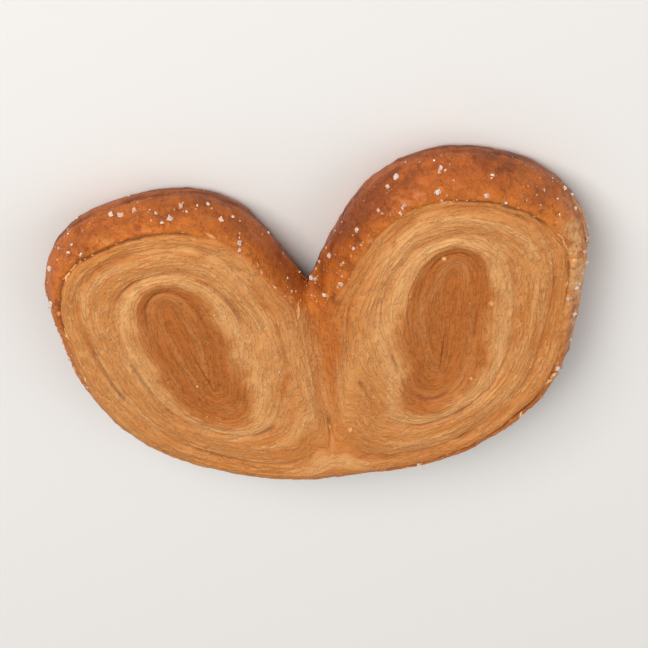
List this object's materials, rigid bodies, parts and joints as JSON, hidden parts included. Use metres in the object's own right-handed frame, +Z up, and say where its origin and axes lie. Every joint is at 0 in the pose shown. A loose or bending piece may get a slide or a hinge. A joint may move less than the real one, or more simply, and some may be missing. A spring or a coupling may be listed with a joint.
{
  "type": "palmier pastry",
  "caption": "Baked puff-pastry palmier: two rolled lobes side by side over a blunt base, with a notch between them, a tan face and a caramelised sugar rim.",
  "frame": {"origin": "centre of the bounding box's bottom, on the surface the pastry lies on", "axes": "+Z up, out of the pale face; +X across the two lobes, towards the larger and thicker one; +Y from the blunt base towards the tops of the lobes"},
  "size_m": [0.08, 0.058, 0.011],
  "materials": {
    "pastry": "baked crust, satin with a thin sugar glaze: tan and dry on the face, darker and glossier on the caramelised rim"
  },
  "bodies": {
    "root": {"palmier": "pastry"}
  },
  "joints": []
}
